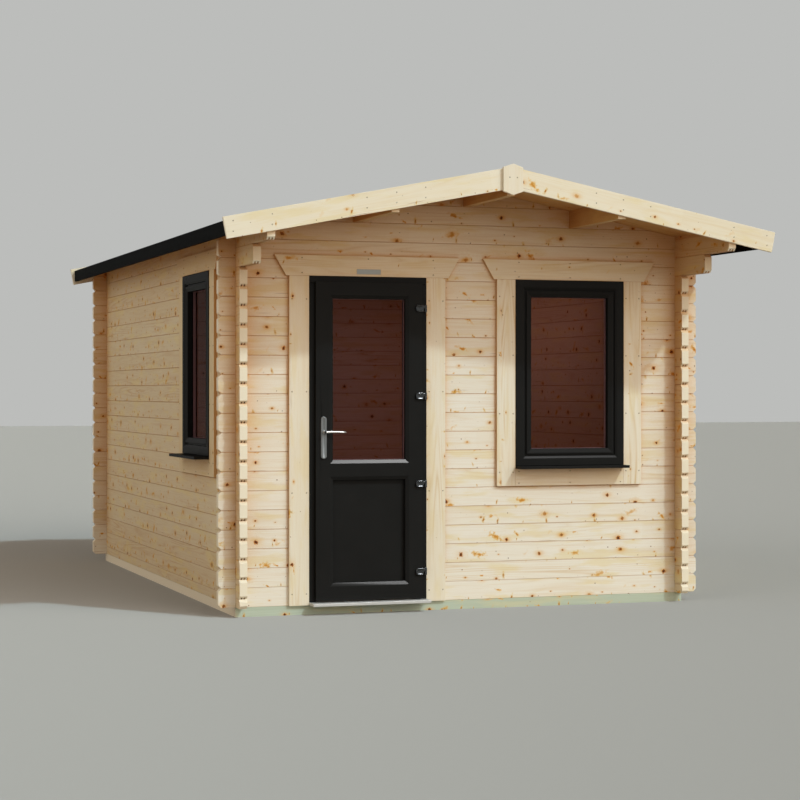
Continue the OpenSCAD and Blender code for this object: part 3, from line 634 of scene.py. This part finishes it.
# The boards round the side window, on the left wall, take a darker, more golden copy of the
# wood: painted shade, as that wall stands out of the key light.
painted_shade_wood = {"pale": "#dccaa8", "warm": "#cfae78", "figure": 0.8}
side_upright = trim_spruce("side_upright_spruce", "Z", "Y", -1.368, trim_w, 75.0, **painted_shade_wood)
side_level = trim_spruce("side_level_spruce", "Y", "Z", level_start, level_step, 77.0,
                         **painted_shade_wood)


def side_board(name, x, z0, z1):
    """An upright board on the front wall."""
    board = block(name, (x, face_y, z0), (x + trim_w, front_face, z1))
    ease(eased, round_steps)
    return board


def head_board(name, x0, x1, z):
    """A head board over an opening, wider at its top."""
    over, slant = 0.018, 0.068
    board = block(name, (x0 - trim_w - over, face_y, z),
                  (x1 + trim_w + over, front_face, z + trim_w))
    for side in (-1, 1):
        pick("VERT", lambda co: (co.x - (x0 + x1) / 2) * side > 0 and co.z > z + trim_w / 2)
        bpy.ops.transform.translate(value=(side * slant, 0, 0))
        leave_edit()
    ease(eased, round_steps)
    return board


for name, x in (("left", door_x0 - trim_w), ("right", door_x1)):
    finish(side_board("door_board_" + name, x, bearer_top, door_top - gap), upright_spruce,
           "cabin", "planed_boards", "door_trim")
finish(head_board("door_head_board", door_x0, door_x1, door_top), level_spruce,
       "cabin", "planed_boards", "door_trim")

left_low, left_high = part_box("side_window_frame")
to_side = (Matrix.Translation((left_low.x, left_high.y, left_high.z))
           @ Matrix.Rotation(-math.pi / 2, 4, "Z")
           @ Matrix.Translation((-low.x, -low.y, -high.z)))


def copy_of(piece, place, name="copy"):
    """A copy of a piece with its own mesh, moved by a matrix."""
    copy = piece.copy()
    copy.data = piece.data.copy()
    copy.name = copy.data.name = name
    copy.data.transform(place)
    bpy.context.scene.collection.objects.link(copy)
    return copy


board_low = win_low - sill_board_w
sill_board = block("window_board_low", (win_x0 + gap, face_y, board_low),
                   (win_x1 - gap, front_face, win_low))
ease(eased, round_steps)
window_boards = [
    (side_board("window_board_left", win_x0 - trim_w, board_low, win_top - gap),
     upright_spruce, side_upright),
    (side_board("window_board_right", win_x1, board_low, win_top - gap),
     upright_spruce, side_upright),
    (sill_board, level_spruce, side_level),
    (head_board("window_head_board", win_x0, win_x1, win_top), level_spruce, side_level),
]
for board, front_wood, side_wood in window_boards:
    finish(copy_of(board, to_side, "side_" + board.name), side_wood, "cabin",
           "planed_boards", "side_window_trim")
    finish(board, front_wood, "cabin", "planed_boards", "front_window_trim")


# ---- Screws ----
# Small countersunk screws of yellow passivated steel, each with a recess in its head,
# driven nearly flush with the faces of the boards.

passivated, tree = blank("passivated_steel")
place = node(tree, "TexCoord").outputs["Object"]
tarnish = node(tree, "TexNoise", {"Vector": place, "Scale": 900.0, "Detail": 3.0})
shader = node(tree, "BsdfPrincipled", {
    "Base Color": mixed(tree, tarnish.outputs["Fac"], paint("#3d2f1c"), paint("#6f5a34")),
    "Metallic": 0.6, "Roughness": ramp(tree, tarnish.outputs["Fac"], 0.3, 0.7, 0.35, 0.6)})
surface(tree, shader)

head_r, head_depth = 0.0034, 0.0016
bpy.ops.mesh.primitive_cylinder_add(vertices=16, radius=head_r, depth=head_depth,
                                    rotation=(math.pi / 2, 0, 0))
screw = settle("screw")
pick("FACE", faces_front)
for inward, painted_shade_mix in ((0.0008, 0.0003), (0.0012, 0.0007)):
    bpy.ops.mesh.inset(thickness=inward, depth=-painted_shade_mix)
leave_edit()
screw_mesh = screw.data.copy()
bpy.data.objects.remove(screw)

inner = 0.016  # from the edge of a board to the middle of a screw
outer = trim_w - inner
places = []
for x in (door_x0 - trim_w, door_x1):
    for z in (0.065, 0.632, 1.2, 1.72):
        places += [(x + inner, face_y, bearer_top + z), (x + outer, face_y, bearer_top + z)]
for share in (0.08, 0.5, 0.92):
    x = door_x0 - trim_w + share * (door_x1 - door_x0 + 2 * trim_w)
    places += [(x, face_y, door_top + z) for z in (inner, outer)]
window_places = []
for x in (win_x0 - trim_w, win_x1):
    for z in (0.08, 0.42, 0.76, 1.1):
        window_places += [(x + inner, face_y, board_low + z),
                          (x + outer, face_y, board_low + z)]
for share in (0.03, 0.5, 0.97):
    x = win_x0 + share * (win_x1 - win_x0)
    window_places += [(x, face_y, z) for z in (win_low - inner, board_low + inner,
                                               win_top + inner, win_top + outer)]
finial_low, finial_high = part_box("finials")
above_middle, from_middle = 0.01, 0.022
for y in (finial_low.y + head_room, finial_high.y - head_room):
    places += [(x, y, (finial_low.z + finial_high.z) / 2 + above_middle)
               for x in (-from_middle, from_middle)]
spots = [Matrix.Translation(place) for place in places + window_places]
spots += [to_side @ Matrix.Translation(place) for place in window_places]
for end, outer_face in (("front", 0), ("back", 1)):
    barge_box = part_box(end + "_bargeboards")
    for side in (-1, 1):
        for x in (0.5, 0.664, 0.83, 1.35, 1.56):
            for drop in (0.03, 0.085):
                z = barge_box[1].z - x * math.tan(pitch) - drop
                spots.append(Matrix.Translation((side * x, barge_box[outer_face].y, z)))
screws = []
for spot in spots:
    if spot.translation.y > back_face:
        spot = spot @ Matrix.Rotation(math.pi, 4, "Z")
    screw = bpy.data.objects.new("screw", screw_mesh.copy())
    screw.data.transform(spot)
    bpy.context.scene.collection.objects.link(screw)
    screws.append(screw)


def join(name, *parts):
    """Makes one piece of several."""
    for part in parts:
        part.select_set(True)
    bpy.context.view_layer.objects.active = parts[0]
    bpy.ops.object.join()
    parts[0].name = parts[0].data.name = name
    return parts[0]


finish(join("board_screws", *screws), passivated, "cabin", "steel")


# ---- Door and window frames ----
# Welded hollow profiles of black unplasticised vinyl, matt under a thin satin skin. The
# door frame stands on an aluminium threshold, and each window frame on a moulded sill.

same_point = 0.00001


def round_edges(name, width, segments=2):
    """Rounds the edges of a CAD node as the profile's own edges are rounded."""
    weld = nodes[name].modifiers.new("weld", "WELD")
    weld.merge_threshold = same_point
    rounded = nodes[name].modifiers.new("rounding", "BEVEL")
    rounded.width = width
    rounded.segments = segments
    rounded.limit_method = "ANGLE"
    rounded.angle_limit = math.radians(25)


vinyl, tree = blank("black_vinyl")
place = node(tree, "TexCoord").outputs["Object"]
skin = node(tree, "TexNoise", {"Vector": place, "Scale": 420.0, "Detail": 2.0})
cloud = node(tree, "TexNoise", {"Vector": place, "Scale": 5.0, "Detail": 3.0})
bump = node(tree, "Bump", {"Height": skin.outputs["Fac"], "Strength": 0.06, "Distance": 0.0001})
shader = node(tree, "BsdfPrincipled", {
    "Base Color": mixed(tree, cloud.outputs["Fac"], paint("#1c1c1c"), paint("#222222")),
    "Roughness": ramp(tree, cloud.outputs["Fac"], 0.3, 0.7, 0.5, 0.6),
    "Specular IOR Level": 0.0, "Coat Weight": 0.15, "Coat Roughness": 0.26,
    "Normal": bump.outputs[0]})
surface(tree, shader)
frames = ("door_frame", "door_leaf", "door_panel", "front_window_frame", "front_window_sash",
          "front_window_sill", "side_window_frame", "side_window_sash", "side_window_sill")
dress(vinyl, *frames)
frame_rounding, sash_rounding = 0.0035, 0.0015
for name in frames:
    round_edges(name, frame_rounding if "frame" in name else sash_rounding)

threshold, tree = blank("threshold_aluminium")
place = node(tree, "TexCoord").outputs["Object"]
axes = node(tree, "SeparateXYZ", {0: place}).outputs
brushed = grain_noise(tree, (6.0, 500.0, 500.0), axes[0], axes[1], axes[2], 3.0)
ribs_per_metre = 110.0
ribs = calc(tree, "PINGPONG", calc(tree, "MULTIPLY", axes[1], ribs_per_metre), 0.5)
relief = calc(tree, "ADD", calc(tree, "MULTIPLY", brushed, 0.1), ribs)
bump = node(tree, "Bump", {"Height": relief, "Strength": 0.5, "Distance": 0.0008})
shader = node(tree, "BsdfPrincipled", {
    "Base Color": mixed(tree, brushed, paint("#c4c5c5"), paint("#dcdcdb")), "Metallic": 0.35,
    "Roughness": ramp(tree, brushed, 0.3, 0.7, 0.35, 0.5), "Normal": bump.outputs[0]})
surface(tree, shader)
dress(threshold, "door_threshold")
round_edges("door_threshold", 0.002)


# ---- Glass ----
# Sealed double glazing with a deep red-brown solar tint, held by the bevelled beads. An
# aluminium bar all round, just inside the beads, keeps the two panes of a unit apart.

smoked, tree = blank("smoked_glass")
place = node(tree, "TexCoord").outputs["Object"]
haze = node(tree, "TexNoise", {"Vector": place, "Scale": 2.0, "Detail": 3.0})
through = node(tree, "BsdfTransparent", {0: mixed(
    tree, haze.outputs["Fac"], paint("#c9b0b6"), paint("#ceb6bb"))})
mirror = node(tree, "BsdfGlossy", {0: (0.09, 0.09, 0.09, 1), "Roughness": 0.02})
glass_ior = 1.45
outside = calc(tree, "SUBTRACT", 1.0, node(tree, "NewGeometry").outputs["Backfacing"])
gloss = calc(tree, "MULTIPLY", node(tree, "Fresnel", {0: glass_ior}).outputs[0], outside)
shader = node(tree, "MixShader", {0: gloss, 1: through.outputs[0], 2: mirror.outputs[0]})
surface(tree, shader)
dress(smoked, "door_glass", "front_window_glass", "side_window_glass")


def metal(name, dark, light, metallic, roughness, scale):
    """Polished or brushed metal, with its brushing along the axis of the smallest scale."""
    made, tree = blank(name)
    axes = node(tree, "SeparateXYZ", {0: node(tree, "TexCoord").outputs["Object"]}).outputs
    lines = grain_noise(tree, scale, axes[0], axes[1], axes[2], 3.0)
    smear = grain_noise(tree, (40.0, 40.0, 40.0), axes[0], axes[1], axes[2])
    bump = node(tree, "Bump", {"Height": lines, "Strength": 0.08, "Distance": 0.0002})
    shader = node(tree, "BsdfPrincipled", {
        "Base Color": mixed(tree, lines, paint(dark), paint(light)), "Metallic": metallic,
        "Roughness": ramp(tree, smear, 0.35, 0.65, roughness[0], roughness[1]),
        "Normal": bump.outputs[0]})
    surface(tree, shader)
    return made


spacer = metal("spacer_aluminium", "#d2d3d4", "#e4e5e5", 0.15, (0.4, 0.55),
               (300.0, 300.0, 300.0))
pane_t, edge_seal, spacer_w = 0.004, 0.005, 0.0085
for name, body, through_axis in (("door", "door", 1), ("front_window", "cabin", 1),
                                 ("side_window", "cabin", 0)):
    low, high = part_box(name + "_glass")
    inset = Vector([edge_seal] * 3)
    inset[through_axis] = pane_t
    bars = block(name + "_spacer_bars", low + inset, high - inset)
    pick("FACE", lambda normal, middle: abs(normal[through_axis]) > 0.9)
    bpy.ops.mesh.inset(thickness=spacer_w, depth=0)
    bpy.ops.mesh.bridge_edge_loops()
    leave_edit()
    finish(bars, spacer, body, "steel")


# ---- Hinges ----
# Four flag hinges of cast zinc, polished dark. The half on the frame carries the pin,
# and the flag on the leaf, rounded and hollowed in its face, turns on it.

def smooth(angle):
    """Leaves edit mode, with the edges that are blunter than an angle shaded smooth."""
    leave_edit()
    bpy.ops.object.shade_smooth_by_angle(angle=math.radians(angle))


hinge_zinc = metal("hinge_zinc", "#3e4144", "#585b5e", 0.7, (0.22, 0.3), (30.0, 500.0, 500.0))
dress(hinge_zinc, "hinge_posts")
round_edges("hinge_posts", 0.0012)

pins = {joint["name"]: Vector(joint["pos_m"])
        for joint in frame["record"]["behaviour"]["joints"]}
pin = pins["door_hinge"]
low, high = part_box("hinge_flags")
leaf_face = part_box("door_leaf")[0].y
flag_h, flag_t, knuckle_r = 0.04, 0.0145, 0.008
wider, beside_knuckle = 0.008, 0.0065
flag_x0, flag_x1 = low.x - wider, pin.x - knuckle_r - beside_knuckle
flag_y = leaf_face - flag_t
heart = Vector(((flag_x0 + flag_x1) / 2, flag_y, low.z + flag_h / 2))
blunt = 50  # degrees: edges up to this angle are shaded smooth

flag = block("hinge_flag", (flag_x0, flag_y, low.z), (flag_x1, leaf_face - gap, low.z + flag_h))
for lefts, radius in ((True, 0.016), (False, 0.006)):
    pick("EDGE", lambda a, b: abs(a.y - b.y) > flag_t / 2 and (a.x < heart.x) == lefts)
    bpy.ops.mesh.bevel(offset=radius, segments=8, affect="EDGES")
pick("FACE", faces_front)
bpy.ops.mesh.bevel(offset=0.0042, segments=5, affect="EDGES")
pick("FACE", lambda normal, middle: normal.y < -0.999)
for share, inward in ((0.86, 0.0010), (0.84, 0.0011), (0.8, 0.0008), (0.7, 0.0005),
                      (0.5, 0.0003)):
    bpy.ops.mesh.extrude_region_move(TRANSFORM_OT_translate={"value": (0, inward, 0)})
    bpy.ops.transform.resize(value=(share, 1, share), center_override=heart)
smooth(blunt)

bpy.ops.mesh.primitive_cylinder_add(vertices=28, radius=knuckle_r, depth=flag_h / 2 - gap,
                                    location=(pin.x, pin.y, heart.z + (flag_h / 2 + gap) / 2))
knuckle = settle("hinge_knuckle")
pick("FACE", lambda normal, middle: abs(normal.z) > 0.9)
bpy.ops.mesh.bevel(offset=0.001, segments=2, affect="EDGES")
smooth(blunt)
arm_t, under_top = 0.009, 0.0055
arm = block("hinge_arm", (flag_x1 - 0.006, pin.y - arm_t / 2, heart.z + gap),
            (pin.x - knuckle_r / 2, pin.y + arm_t / 2, heart.z + flag_h / 2 - under_top))
ease(0.001, 2)
flag = join("hinge_flag", flag, knuckle, arm)
rise = (high.z - low.z - flag_h) / 3
copies = [copy_of(flag, Matrix.Translation((0, 0, i * rise))) for i in (1, 2, 3)]
finish(join("domed_hinge_flags", flag, *copies), hinge_zinc, "door", "steel", "hinge_flags")


# ---- Handle ----
# A long plate of satin alloy, with round ends and a shallow hollow, on each face of the
# leaf, and a slightly waved lever of polished alloy on each side, on one square spindle.

satin = metal("satin_alloy", "#74787b", "#85898c", 0.35, (0.28, 0.36), (700.0, 700.0, 30.0))
polished = metal("polished_alloy", "#d2d3d3", "#e4e4e3", 0.5, (0.2, 0.28), (30.0, 700.0, 700.0))
pin = pins["handle_turn"]
low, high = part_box("handle_plates")
plate_t = leaf_face - low.y
middle_y = (low.y + high.y) / 2
to_inside = (Matrix.Translation((0, middle_y, 0)) @ Matrix.Scale(-1, 4, (0, 1, 0))
             @ Matrix.Translation((0, -middle_y, 0)))


def both_faces(name, piece):
    """A piece and its mirror image on the inner face of the leaf, as one."""
    inner = copy_of(piece, to_inside)
    inner.data.flip_normals()
    return join(name, piece, inner)


crown = 0.0025  # how far the middle of a plate stands out past its edge
plate = block("handle_plate", (low.x, low.y + crown, low.z), (high.x, leaf_face, high.z))
pick("EDGE", lambda a, b: abs(a.y - b.y) > plate_t / 2)
bpy.ops.mesh.bevel(offset=(high.x - low.x - gap) / 2, segments=10, affect="EDGES")
pick("FACE", faces_front)
for inward, outward in ((0.0004, 0.0011), (0.0008, 0.0009), (0.0014, 0.0005), (0.0035, 0.0)):
    bpy.ops.mesh.inset(thickness=inward, depth=outward)
bpy.ops.mesh.extrude_region_move(TRANSFORM_OT_translate={"value": (0, 0.0007, 0)})
bpy.ops.transform.resize(value=(0.8, 1, 0.985), center_override=(low + high) / 2)
smooth(40)
bpy.ops.mesh.primitive_torus_add(major_radius=0.0105, minor_radius=0.0016, major_segments=32,
                                 minor_segments=10, location=(pin.x, low.y, pin.z),
                                 rotation=(math.pi / 2, 0, 0))
collar = settle("handle_collar")
smooth(blunt)
finish(both_faces("round_ended_plates", join("handle_plate", plate, collar)), satin, "door",
       "steel", "handle_plates")

grip_r, neck_r, bend = 0.0063, 0.009, 0.014
grip_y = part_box("door_handle")[0].y + grip_r
bend_y = grip_y + bend
bpy.ops.mesh.primitive_cylinder_add(vertices=24, radius=neck_r, depth=low.y - gap - bend_y,
                                    location=(pin.x, (low.y - gap + bend_y) / 2, pin.z),
                                    rotation=(math.pi / 2, 0, 0))
neck = settle("lever_neck")
pick("FACE", faces_front)
bpy.ops.transform.resize(value=(grip_r / neck_r, 1, grip_r / neck_r),
                         center_override=(pin.x, 0, pin.z))
smooth(blunt)
bpy.ops.mesh.primitive_circle_add(vertices=24, radius=grip_r, fill_type="NGON",
                                  location=(pin.x, bend_y, pin.z), rotation=(math.pi / 2, 0, 0))
grip = settle("lever_grip")
pick("FACE", lambda normal, middle: True)
bpy.ops.mesh.spin(steps=8, angle=math.pi / 2, center=(pin.x + bend, bend_y, pin.z),
                  axis=(0, 0, 1))
heart = Vector((pin.x + bend, grip_y, pin.z))
for along, rise, wide, tall in ((0.012, 0.0004, 1.0, 0.95), (0.02, 0.0008, 1.0, 0.95),
                                (0.025, 0.0, 0.97, 0.95), (0.022, -0.0010, 0.97, 0.95),
                                (0.016, -0.0008, 1.0, 1.0), (0.009, 0.0, 1.0, 1.0),
                                (0.0025, 0.0, 0.8, 0.8), (0.0012, 0.0, 0.6, 0.6)):
    bpy.ops.mesh.extrude_region_move(TRANSFORM_OT_translate={"value": (along, 0, rise)})
    heart += Vector((along, 0, rise))
    bpy.ops.transform.resize(value=(1, wide, tall), center_override=heart)
bpy.ops.mesh.select_all(action="SELECT")
bpy.ops.mesh.remove_doubles(threshold=same_point)
bpy.ops.mesh.normals_make_consistent(inside=False)
smooth(blunt)
levers = both_faces("levers", join("lever", neck, grip))
spindle_r = 0.004
spindle = block("spindle", (pin.x - spindle_r, low.y + gap, pin.z - spindle_r),
                (pin.x + spindle_r, high.y - gap, pin.z + spindle_r))
finish(join("waved_levers", levers, spindle), polished, "lever", "steel", "door_handle")


# ---- Name plate ----
# A thin pressed plate of satin aluminium, left bare, with a raised rim. It is glued to
# the head board over the door.

alloy, tree = blank("plate_aluminium")
place = node(tree, "TexCoord").outputs["Object"]
axes = node(tree, "SeparateXYZ", {0: place}).outputs
brushed = grain_noise(tree, (12.0, 800.0, 800.0), axes[0], axes[1], axes[2], 3.0)
shader = node(tree, "BsdfPrincipled", {
    "Base Color": mixed(tree, brushed, paint("#9fa3a3"), paint("#b9bcbb")), "Metallic": 0.4,
    "Roughness": ramp(tree, brushed, 0.3, 0.7, 0.35, 0.5)})
surface(tree, shader)
plate_x, plate_z = -0.6005, bearer_top + 1.865
plate_w, plate_h, plate_t = 0.142, 0.028, 0.0015
plate = block("name_plate", (plate_x - plate_w / 2, face_y - plate_t, plate_z),
              (plate_x + plate_w / 2, face_y, plate_z + plate_h))
pick("FACE", faces_front)
bpy.ops.mesh.inset(thickness=0.0025, depth=0)
bpy.ops.mesh.inset(thickness=0.0004, depth=-0.0004)
leave_edit()
finish(plate, alloy, "cabin", "steel")


# ---- Studio ----
# A pale floor that runs back to a pale background, and a camera at the height of a chest.
# One key light stands high on the right, a lamp beside it shows in gloss alone, two wide
# fills and the sky are even, and a soft lamp hangs in the room.

def seen_mix(tree, seen, sent):
    """One shader for what is seen, also in metal and through glass, and another for the
    light that it sends."""
    path = node(tree, "LightPath").outputs
    share = calc(tree, "MAXIMUM", path["Is Camera Ray"], calc(
        tree, "MAXIMUM", path["Is Glossy Ray"], path["Is Transmission Ray"]))
    return node(tree, "MixShader", {0: share, 1: sent, 2: seen}).outputs[0]


bpy.ops.mesh.primitive_plane_add(size=120)
ground = bpy.context.object
ground.name = "studio_floor"
pale, tree = blank("studio_floor")
shown = node(tree, "BsdfDiffuse", {0: paint("#a3a4a4"), 1: 1.0})
bounced = node(tree, "BsdfDiffuse", {0: paint("#bdb6ac"), 1: 1.0})
node(tree, "OutputMaterial", {0: seen_mix(tree, shown.outputs[0], bounced.outputs[0])})
ground.data.materials.append(pale)

sky_strength, backdrop_strength = 0.38, 1.0
world = bpy.data.worlds.new("studio")
world.use_nodes = True
bpy.context.scene.world = world
tree = world.node_tree
tree.nodes.clear()
even = node(tree, "Background", {0: (1.0, 0.87, 0.72, 1), 1: sky_strength})
backdrop = node(tree, "Background", {0: paint("#bcbdbb"), 1: backdrop_strength})
node(tree, "OutputWorld", {0: seen_mix(tree, backdrop.outputs[0], even.outputs[0])})


def lamp(name, kind, place, target, strength, colour, gloss=False, diffuse=True):
    """A lamp turned to face a point. It shows in gloss, lights what is matt, or both."""
    light = bpy.data.lights.new(name, kind)
    light.energy, light.color = strength, colour
    stand = bpy.data.objects.new(name, light)
    stand.location = place
    stand.rotation_euler = (Vector(target) - Vector(place)).to_track_quat("-Z", "Y").to_euler()
    stand.visible_camera = False
    stand.visible_glossy, stand.visible_diffuse = gloss, diffuse
    bpy.context.scene.collection.objects.link(stand)
    return light


centre, fill_colour = (0, 0, 0), (1.0, 0.89, 0.75)
key = lamp("key_light", "SUN", (4.236, -5.873, 6.896), centre, 1.48, (0.69, 0.92, 1.0))
key.angle = math.radians(2.5)
highlight = lamp("highlight", "SUN", (3.3, -6.3, 6.95), centre, 2.6, (1.0, 1.0, 1.0),
                 gloss=True, diffuse=False)
highlight.angle = math.radians(4)
for name, place, strength in (("front_fill", (5.5, -9.0, 3.0), 1.86),
                              ("left_fill", (-8.0, -1.5, 2.5), 0.62)):
    fill = lamp(name, "SUN", place, centre, strength, fill_colour)
    fill.angle = math.radians(70)
ceiling = lamp("ceiling_lamp", "AREA", (0.55, 0.4, 2.1), (0.55, 0.4, 0), 8.5,
               (1.0, 0.95, 0.88))
ceiling.shape, ceiling.size, ceiling.size_y = "RECTANGLE", 0.9, 2.2

# The camera stands level, a long way off, in front and to the left.
camera_data = bpy.data.cameras.new("camera")
camera_data.lens = 90.15
camera_data.sensor_width = 36.0
camera_data.shift_y = -0.011
camera = bpy.data.objects.new("camera", camera_data)
camera.location = (-4.0806, -12.520, 1.2558)
camera.rotation_euler = (math.radians(90), 0, math.radians(-18.736))
bpy.context.scene.collection.objects.link(camera)
bpy.context.scene.camera = camera
bpy.context.scene.view_settings.view_transform = "Standard"
